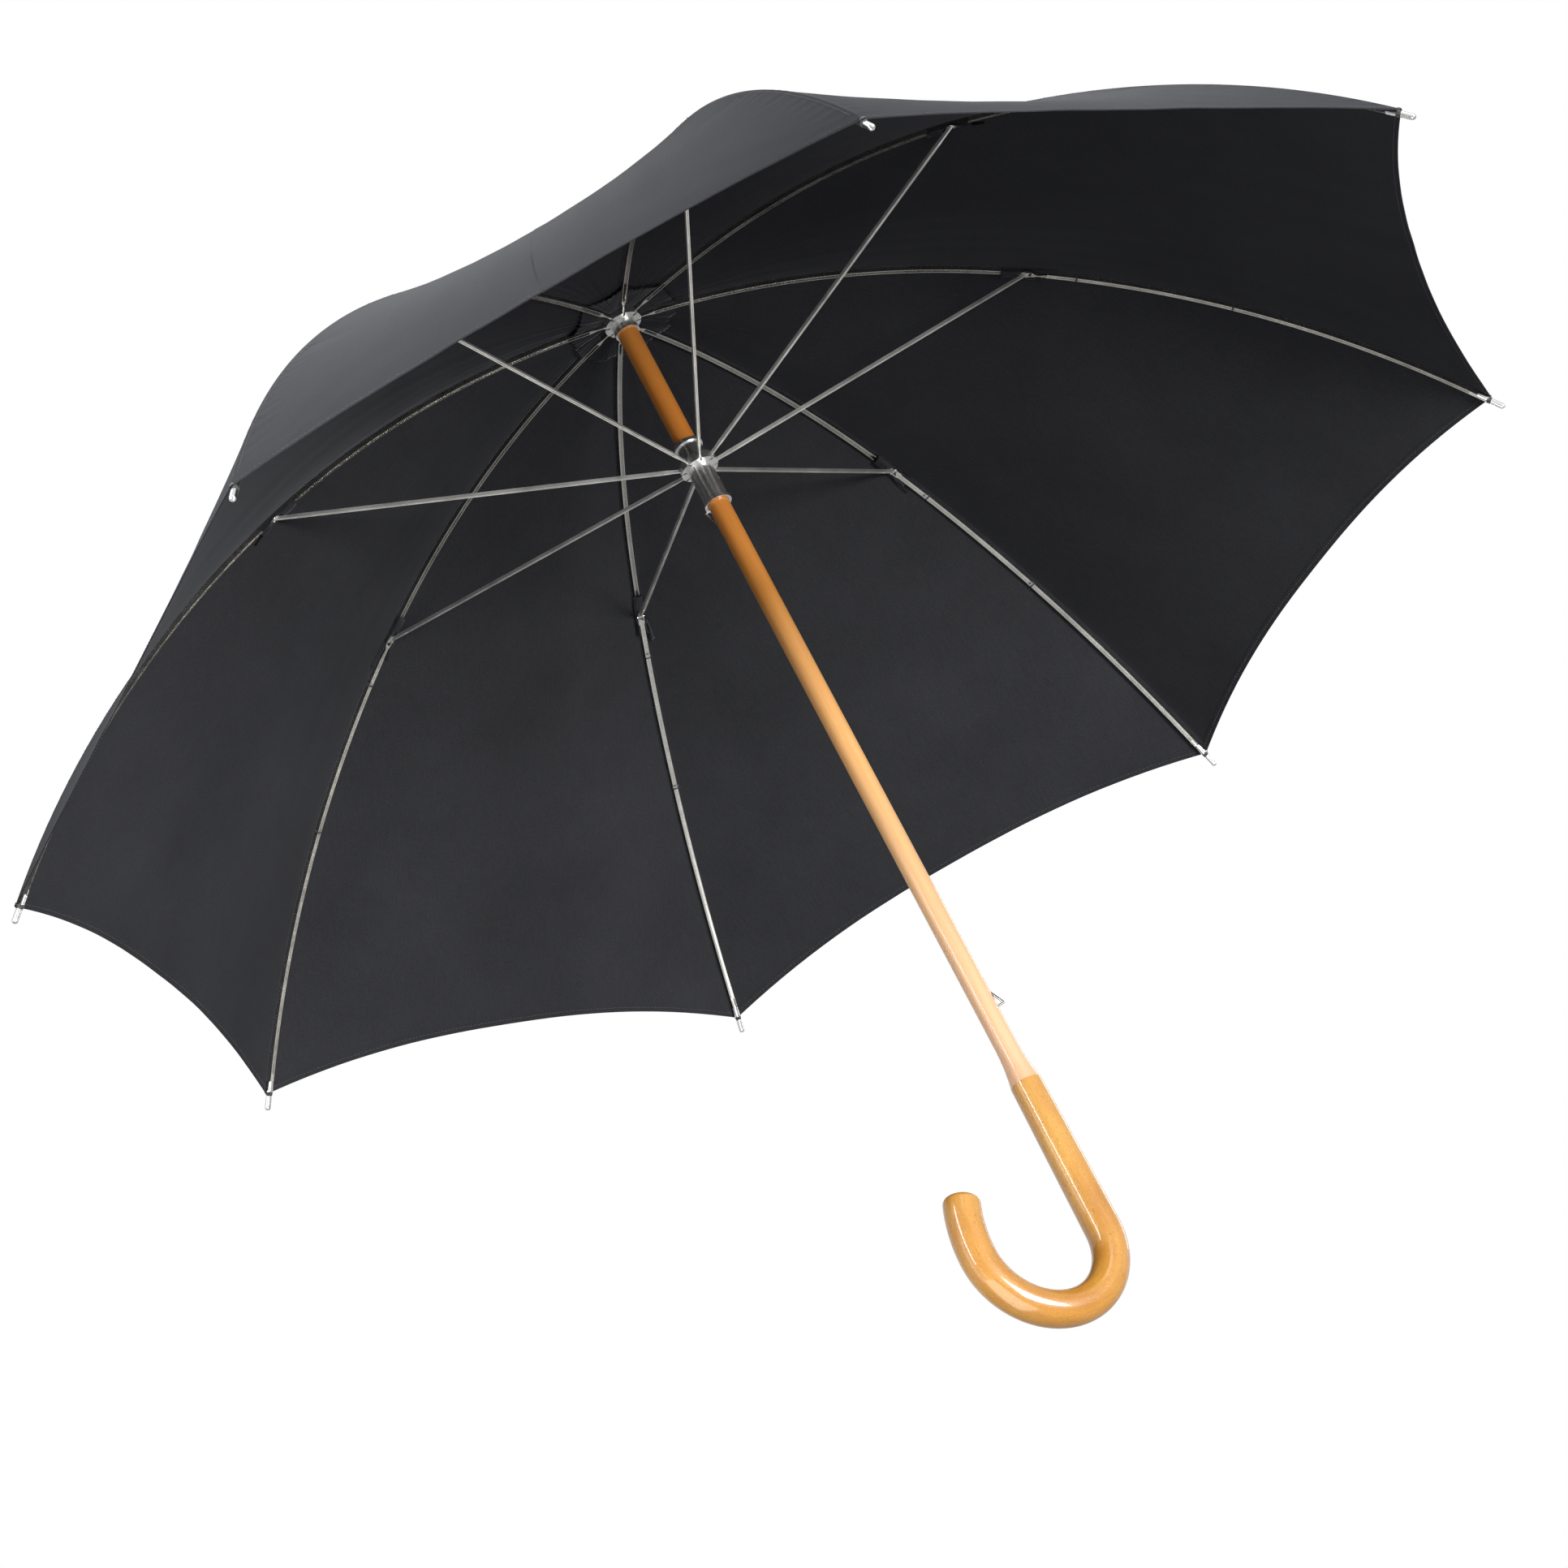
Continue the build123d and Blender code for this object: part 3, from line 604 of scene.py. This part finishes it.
soft_light("key", 0.60, 0.34, 0.72, 2.6, (1.3, 1.0), 100, (1.0, 0.99, 0.975))
soft_light("top", 0.05, 1.00, 0.20, 2.4, (1.8, 1.4), 14)
soft_light("fill", -0.85, -0.15, 0.50, 3.0, (0.8, 2.2), 10)
soft_light("front", -0.15, -0.45, 0.90, 0.75, (0.6, 0.6), 3.8, at=HANDLE_AT)
soft_light("streak", -0.780, 0.408, 0.474, 1.0, (0.10, 1.0), 5.0, at=HANDLE_AT)
soft_light("edge", 0.470, 0.350, -0.810, 1.0, (0.08, 1.0), 1.8, at=HANDLE_AT)
soft_light("back", -0.50, 0.60, -0.70, 3.0, (2.0, 2.0), 20)

bpy.context.scene.view_settings.view_transform = "Standard"
world = bpy.data.worlds.new("studio")
bpy.context.scene.world = world
world.use_nodes = True
sky = world.node_tree
sky.nodes.clear()
path = sky.nodes.new("ShaderNodeLightPath")
glow = None
for strength, ray in ((0.022, None), (0.75, "Is Glossy Ray"), (1.0, "Is Camera Ray")):
    light = sky.nodes.new("ShaderNodeBackground")
    light.inputs["Color"].default_value = (1, 1, 1, 1)
    light.inputs["Strength"].default_value = strength
    if ray is None:
        glow = light.outputs[0]
        continue
    choose = sky.nodes.new("ShaderNodeMixShader")
    sky.links.new(path.outputs[ray], choose.inputs[0])
    sky.links.new(glow, choose.inputs[1])
    sky.links.new(light.outputs[0], choose.inputs[2])
    glow = choose.outputs[0]
sky.links.new(glow, sky.nodes.new("ShaderNodeOutputWorld").inputs[0])

FLOOR_Z, FLOOR_R = -1.25, 14
floor_mesh = bmesh.new()
bmesh.ops.create_circle(floor_mesh, cap_ends=True, segments=96, radius=FLOOR_R)
floor_data = bpy.data.meshes.new("studio_floor")
floor_mesh.to_mesh(floor_data)
floor_mesh.free()
floor = bpy.data.objects.new("studio_floor", floor_data)
floor.location = (0, 0, FLOOR_Z)
bpy.context.scene.collection.objects.link(floor)
paper = Nodes("studio_paper")
paper.set(Roughness=0.9, Specular_IOR_Level=0.2)
mottle = paper.noise(paper.coordinates("Object"), 6, 4)
pale = paper.ramp(mottle, (0.3, grey(0.84)), (0.7, grey(0.87)))
paper.link(pale, paper.shader.inputs["Base Color"])
paper.link(pale, paper.shader.inputs["Emission Color"])
paper.set(Emission_Strength=0.62)
# the floor is pale to look at, but throws little light up into the cover and is clear from below
rays, surface = paper.add("ShaderNodeLightPath"), paper.shader.outputs[0]
beneath = paper.add("ShaderNodeNewGeometry").outputs["Backfacing"]
for switch, kind, shade in ((rays.outputs["Is Diffuse Ray"], "ShaderNodeBsdfDiffuse", 0.10),
                            (rays.outputs["Is Glossy Ray"], "ShaderNodeEmission", 0.45),
                            (beneath, "ShaderNodeBsdfTransparent", 1.0)):
    there = paper.add(kind)
    there.inputs["Color"].default_value = (*grey(shade), 1)
    choose = paper.add("ShaderNodeMixShader")
    paper.link(switch, choose.inputs[0])
    paper.link(surface, choose.inputs[1])
    paper.link(there.outputs[0], choose.inputs[2])
    surface = choose.outputs[0]
paper.link(surface, paper.tree.nodes["Material Output"].inputs[0])
floor_data.materials.append(paper.material)

# ---- the cover's panels -----------------------------------------------------------------
ACROSS, INNER_ROWS, OUTER_ROWS = 16, 44, 48
STRIP_W = 0.008                        # half the width of the seam strip that stays on a rib
FLAP, FLAP_GAP, FLAP_T = 0.020, 0.00003, 0.00010
STITCH, STITCH_LEN, STITCH_R = 0.0031, 0.0021, 0.00016
HEM_STITCH, SEAM_STITCH = 0.0034, 0.0024   # rows of stitches, from the hem's end and the seam
TOP_RISE = UNDER_RISE + CLOTH_T


def across_from_rib(s, strip):
    """Shares of the way from a rib to its panel's middle, for the columns of a grid of s."""
    half = rib_line(s, 0)[0] * math.sin(PITCH / 2)
    edge = np.minimum(STRIP_W / half, 0.60)
    if not strip:
        return edge + (1 - edge) * np.linspace(0, 1, s.shape[1])
    seam = np.minimum(SEAM_W / half, 0.30)
    step = np.minimum((SEAM_W + FOLD_STEP) / half, 0.34)
    return np.stack([0 * seam[:, 0], seam[:, 1], step[:, 2], edge[:, 3]], 1)


def half_grid(side, outer, strip):
    """t and s for the half of a panel beside a rib: t is 0 on the rib and 1 at the middle."""
    rows, columns = (OUTER_ROWS if outer else INNER_ROWS), (4 if strip else ACROSS + 1)
    v = np.linspace(0, 1, rows)[:, None]
    start, end = (AT_JOINT, CLOTH_LEN) if outer else (CLOTH_START, AT_JOINT)
    s = np.repeat(start + v * (end - start), columns, axis=1)
    if not outer:
        return across_from_rib(s, strip), s
    s = np.concatenate([s, s[-1:], s[-1:]])
    for _ in range(3):
        hem = hem_end(1 - across_from_rib(s, strip)[-1])
        s = AT_JOINT + v * (hem - HEM_W - FOLD_STEP - AT_JOINT)
        s = np.concatenate([s, [hem - HEM_W], [hem]])
    return across_from_rib(s, strip), s


def stitches(shape, panel, u_line, s_line, rise, slot):
    """A row of stitches along a line on the cloth, on the side that rise is on."""
    line = cover(panel, u_line, s_line, rise)
    along = np.concatenate([[0], np.cumsum(np.linalg.norm(np.diff(line, axis=0), axis=1))])
    count = int(along[-1] / STITCH)
    starts = (np.arange(count) + 0.5) * along[-1] / count - STITCH_LEN / 2
    for start in starts:
        at = start + np.array((0.0, 0.22, 0.78, 1.0)) * STITCH_LEN
        u, s = np.interp(at, along, u_line), np.interp(at, along, s_line)
        sink = np.array((-0.00012, 0.00008, 0.00008, -0.00012)) * (1 if rise > UNDER_RISE else -1)
        shape.tube(cover(panel, u, s, rise + sink), STITCH_R, 5, slot)


def cloth_sheet(name, panels, u, s, under_rise, top_rise, rows_of_stitches):
    """A closed thin sheet of the cover, one column of its grid for each number in panels."""
    under, top = np.empty(u.shape + (3,)), np.empty(u.shape + (3,))
    normal = np.empty(u.shape + (3,))
    for panel in sorted(set(panels)):
        own = panels == panel
        under[:, own] = cover(panel, u[:, own], s[:, own], under_rise[:, own])
        top[:, own] = cover(panel, u[:, own], s[:, own], top_rise[:, own])
        normal[:, own] = cover_normal(panel, u[:, own], s[:, own])
    points, low, high, rim = sheet_grid(under, top)
    quads = np.concatenate([low, high, rim])
    n = u.size
    normal = normal.reshape(-1, 3)
    where = quads.reshape(-1)
    loops = np.where((where < n)[:, None], -normal[where % n], normal[where % n])
    # the rim and the steps of the seam and hem are creased, so each face keeps its own normal
    facets = facet_areas(points[quads])
    facets /= np.maximum(np.linalg.norm(facets, axis=1, keepdims=True), 1e-12)
    creased = np.zeros(len(quads), bool)
    creased[-len(rim):] = True
    creased[:len(low)] = np.ptp(under_rise.reshape(-1)[low], axis=1) > 1e-6
    creased[len(low):-len(rim)] = np.ptp(top_rise.reshape(-1)[high - n], axis=1) > 1e-6
    loops[np.repeat(creased, 4)] = np.repeat(facets[creased], 4, axis=0)
    flat = np.stack([u * rib_line(s, 0)[0] * math.sin(PITCH / 2) + panels[None, :], s], -1)
    flat = np.concatenate([flat.reshape(-1, 2)] * 2)[where]
    shape = Shape()
    shape.add(points, quads)
    for panel, u_line, s_line, rise in rows_of_stitches:
        stitches(shape, panel, u_line, s_line, rise, 1)
    added = sum(len(f) for f in shape.faces) - len(where)
    plain = np.zeros((added, 3))          # a zero leaves a stitch its own smooth normals
    made = make(name, np.concatenate(shape.points), shape.faces, [cloth, thread], shape.slots,
                np.concatenate([flat, plain[:, :2]]), np.concatenate([loops, plain]))
    return made, float(np.linalg.norm(facet_areas(points[low]), axis=1).sum())


def facet_areas(quads):
    """Vectors as long as the area of each quad."""
    return np.cross(quads[:, 2] - quads[:, 0], quads[:, 3] - quads[:, 1]) / 2


def hem_stitches(panel, side, first, last):
    """Where the two rows of stitches run that hold a hem, between two shares of a half panel."""
    edge = side * (np.linspace(first, last, 160) - 1)
    line = hem_end(edge) - HEM_STITCH
    return [(panel, edge, line, rise) for rise in (TOP_RISE, UNDER_RISE - FOLD_T)]


def half_sector(k, side, outer):
    """The cloth on one side of rib k, out to the middle of its panel, inside or past the joint."""
    panel = k if side > 0 else k - 1
    t, s = half_grid(side, outer, False)
    under, top = np.full(s.shape, UNDER_RISE), np.full(s.shape, TOP_RISE)
    sewn = []
    if outer:
        under[-2:] -= FOLD_T
        sewn = hem_stitches(panel, side, t[-1, 0], 1)
        # a thin flap on the upper side reaches back over the inner piece, for when they fold
        back = AT_JOINT - FLAP * t[0] ** 0.7 * np.array([[1.0], [0.5], [0.0]])
        s = np.concatenate([back, s])
        t = np.concatenate([across_from_rib(back, False), t])
        flap = np.full(back.shape, TOP_RISE + FLAP_GAP)
        under, top = np.concatenate([flap, under]), np.concatenate([flap + FLAP_T, top])
    if side < 0:
        t, s, under, top = t[:, ::-1], s[:, ::-1], under[:, ::-1], top[:, ::-1]
    name = f"cover_{'outer' if outer else 'inner'}_{k + 1}_{'a' if side > 0 else 'b'}"
    panels = np.full(s.shape[1], panel)
    return cloth_sheet(name, panels, side * (t - 1), s, under, top, sewn)


def seam_strip(k):
    """The seam along rib k: one strip from the hub to the tip, with its allowances and stitches."""
    grids = []
    for outer in (False, True):
        t, s = half_grid(1, outer, True)
        grids.append((t[1:], s[1:]) if outer else (t, s))
    t, s = (np.concatenate(g) for g in zip(*grids))
    under = np.full(s.shape, UNDER_RISE)
    under[:, :2] -= FOLD_T
    under[-2:] = UNDER_RISE - FOLD_T
    mirror = [3, 2, 1, 0, 0, 1, 2, 3]
    u = np.concatenate([1 - t[:, ::-1], t - 1], axis=1)
    panels = np.array([k - 1] * 4 + [k] * 4)
    s, under = s[:, mirror], under[:, mirror]
    sewn = []
    run = np.linspace(0.020, CLOTH_LEN - 0.014, 260)
    beside = SEAM_STITCH / (rib_line(run, 0)[0] * math.sin(PITCH / 2))
    for panel, side in ((k - 1, -1), (k, 1)):
        sewn.append((panel, side * (beside - 1), run, TOP_RISE))
        sewn += hem_stitches(panel, side, 0.010, t[-1, 3])
    return cloth_sheet(f"cover_seam_{k + 1}", panels, u, s, under, np.full(s.shape, TOP_RISE), sewn)


def fold_with(piece):
    """Gives a half sector its own copy of its mesh."""
    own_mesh(piece)


for k in range(RIBS):
    seam, area = seam_strip(k)
    ends = [at_azimuth(on_rib(AT_JOINT + d, 0, 0), azimuth(k)) for d in (-0.012, 0.012)]
    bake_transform(seam)
    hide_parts(f"canopy_sector_{k + 1}")
    for outer in (False, True):
        for side in (1, -1):
            piece, area = half_sector(k, side, outer)
            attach(piece, f"rib_{k + 1}_outer" if outer else f"rib_{k + 1}")
            fold_with(piece)


# ---- cloth and thread trimmings on the ribs ---------------------------------------------
def thicken(grid, thickness):
    """The underside and upper side of a thin sheet, from the grid of its underside."""
    normal = np.cross(np.gradient(grid, axis=0), np.gradient(grid, axis=1))
    normal /= np.maximum(np.linalg.norm(normal, axis=-1, keepdims=True), 1e-12)
    return grid, grid + normal * thickness


def thin_sheet(name, grid, thickness, material):
    points, low, high, rim = sheet_grid(*thicken(grid, thickness))
    made = make(name, points, np.concatenate([low, high, rim]), [material])
    facets = np.linalg.norm(facet_areas(points[low]), axis=1)
    return made, float(facets.sum())


ROSETTE_START, ROSETTE_END, TOOTH, TEETH = 0.0015, 0.0285, 0.0016, 8
ROSETTE_RISE = 2.45 * MM
ROSETTE_ROWS, TOOTH_COLUMNS = 14, 4


def rosette(k):
    """One rib's share of the pinked satin disc between the hub's ribs and the cover."""
    columns = TEETH * TOOTH_COLUMNS + 1
    place = np.linspace(-1, 1, columns)
    tooth = np.abs((np.arange(columns) / TOOTH_COLUMNS) % 1 - 0.5) * 2
    v = np.linspace(0, 1, ROSETTE_ROWS)[:, None]
    end = ROSETTE_END + TOOTH * (1 - tooth) + 0.0022 * waves(70 + k, 3, place * 0.8)
    s = ROSETTE_START + v * (end - ROSETTE_START)
    ruffle = 2.6 + 1.5 * waves(80 + k, 3, 1.3 * place + 0 * v, v + 0 * place)
    rise = ROSETTE_RISE - ruffle * MM * (1 - np.abs(1 - np.abs(place)) ** 6) * v ** 0.8
    near = np.abs(place) < 0.06
    rise = np.where(near, ROSETTE_RISE, rise)
    first, second = place < 0, place >= 0
    grid = np.empty(s.shape + (3,))
    grid[:, first] = cover(k - 1, 1 + place[first] + 0 * s[:, first], s[:, first], rise[:, first])
    grid[:, second] = cover(k, place[second] - 1 + 0 * s[:, second], s[:, second], rise[:, second])
    made, area = thin_sheet(f"rosette_{k + 1}", grid, 0.22 * MM, satin)
    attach(made, f"rib_{k + 1}")
    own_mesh(made)


def preventer(k):
    """The strip of satin folded over a rib's joint, crumpled, with one loose end beside it."""
    s = np.linspace(-0.019, 0.014, 34)[:, None]
    c = np.linspace(-1, 1, 37)
    # across it: over the back, down both sides, and under the rib where it is closed
    top = np.clip(np.abs(c) / 0.26, 0, 1)
    side = np.clip((np.abs(c) - 0.26) / 0.44, 0, 1)
    under = np.clip((np.abs(c) - 0.70) / 0.30, 0, 1)
    closed = 1 / (1 + np.exp((s + 0.0055) / 0.0008))
    mouth = np.exp(-((s / 0.0045) ** 2))
    crease = MM * waves(120 + k, 4, s / 0.011, 1.7 * c)
    out = (2.15 + 0.95 * mouth + 0.35 * closed) * MM + side * (0.35 * MM + 0.8 * crease)
    out = out * (1 - closed * under) + (1 - closed) * under * 0.7 * MM
    y = np.sign(c) * top * out
    h = 2.38 * MM - side * (4.7 * MM - 1.2 * mouth * MM) - under * (0.9 * MM - 0.6 * mouth * MM)
    h = h + 0.6 * side * MM * waves(140 + k, 3, s / 0.009, 1.5 * c)
    grid = on_rib(AT_JOINT + s + 0 * c, y, h)
    # the loose end: a ribbon that leaves one side and lies along it
    w, v = np.linspace(-1, 1, 7), np.linspace(0, 1, 18)[:, None]
    hand = 1 if k % 2 else -1
    tail_s = AT_JOINT + (-0.006 + 0.027 * v) + 0 * w
    tail_h = 0.6 * MM - 2.4 * MM * v + w * 1.9 * MM * (1 - 0.45 * v)
    tail_y = hand * (2.75 * MM + 4.2 * MM * v ** 1.3 + w * v * 1.5 * MM
                     + 0.5 * MM * np.sin(7 * v + k))
    tail = on_rib(tail_s, tail_y, tail_h)
    shape, total = Shape(), 0
    for piece in (grid, tail[:, ::-hand]):
        points, low, high, rim = sheet_grid(*thicken(piece, 0.25 * MM))
        shape.add(at_azimuth(points, azimuth(k)), np.concatenate([low, high, rim]))
        total += float(np.linalg.norm(facet_areas(points[low]), axis=1).sum())
    made = shape.object(f"joint_cover_{k + 1}", [satin])
    ends = [at_azimuth(on_rib(AT_JOINT + d, 0, 0), azimuth(k)) for d in (-0.008, 0.010)]
    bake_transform(made)


def loop_round(y_half, h_low, h_high, along, turns, pitch, start=0.0):
    """A thread's path round a rib: turns between two heights, over both sides."""
    a = start + np.linspace(0, turns * math.tau, int(turns * 22) + 1)
    cos, sin = np.cos(a), np.sin(a)
    y = y_half * np.sign(cos) * np.abs(cos) ** 0.55
    mid, tall = (h_low + h_high) / 2, (h_high - h_low) / 2
    h = mid + tall * np.sign(sin) * np.abs(sin) ** 0.55
    return along + pitch * (a - start) / math.tau, y, h


def threads(k):
    """The ties that hold the cover's seam to the outer rib, and the binding at its tip."""
    shape = Shape()
    hand = 1 if k % 2 else -1
    for number, tie in enumerate(TIES):
        at = AT_JOINT + tie
        s, y, h = loop_round(1.98 * MM, -1.45 * MM, 2.52 * MM, at, 3, 0.42 * MM)
        shape.tube(on_rib(s, hand * y, h), 0.24 * MM, 6)
        v = np.linspace(0, 1, 9)
        for swing, reach in ((1, 4.5), (-1, 3.2)):
            shape.tube(
                on_rib(at + 0.6 * MM + swing * reach * 0.5 * MM * v,
                       hand * (2.0 * MM + reach * MM * v ** 1.2),
                       0.6 * MM + 1.7 * MM * v ** 2 + 0.3 * MM * np.sin(5 * v + number)),
                np.linspace(0.22, 0.15, 9) * MM, 5)
        shape.tube(on_rib(at + 0.5 * MM + 0.5 * MM * np.cos(v * 9), hand * (2.25 + 0.35 * v) * MM,
                          0.4 * MM + 0.5 * MM * np.sin(v * 9)), 0.27 * MM, 6)
    waist = AT_END + 0.0083
    s, y, h = loop_round(1.82 * MM, (0.5 - 1.82) * MM, (0.5 + 1.82) * MM, waist, 4, 0.52 * MM)
    shape.tube(on_rib(s, y, h), 0.29 * MM, 6)
    s, y, h = loop_round(1.95 * MM, (0.5 - 2.2) * MM, 3.95 * MM, AT_END + 0.0072, 4, 0.48 * MM)
    shape.tube(on_rib(s, y, h), 0.22 * MM, 6)
    shape.points = [at_azimuth(p, azimuth(k)) for p in shape.points]
    made = shape.object(f"ties_{k + 1}", [thread])
    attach(made, f"rib_{k + 1}_outer")


for k in range(RIBS):
    rosette(k)
    preventer(k)
    threads(k)
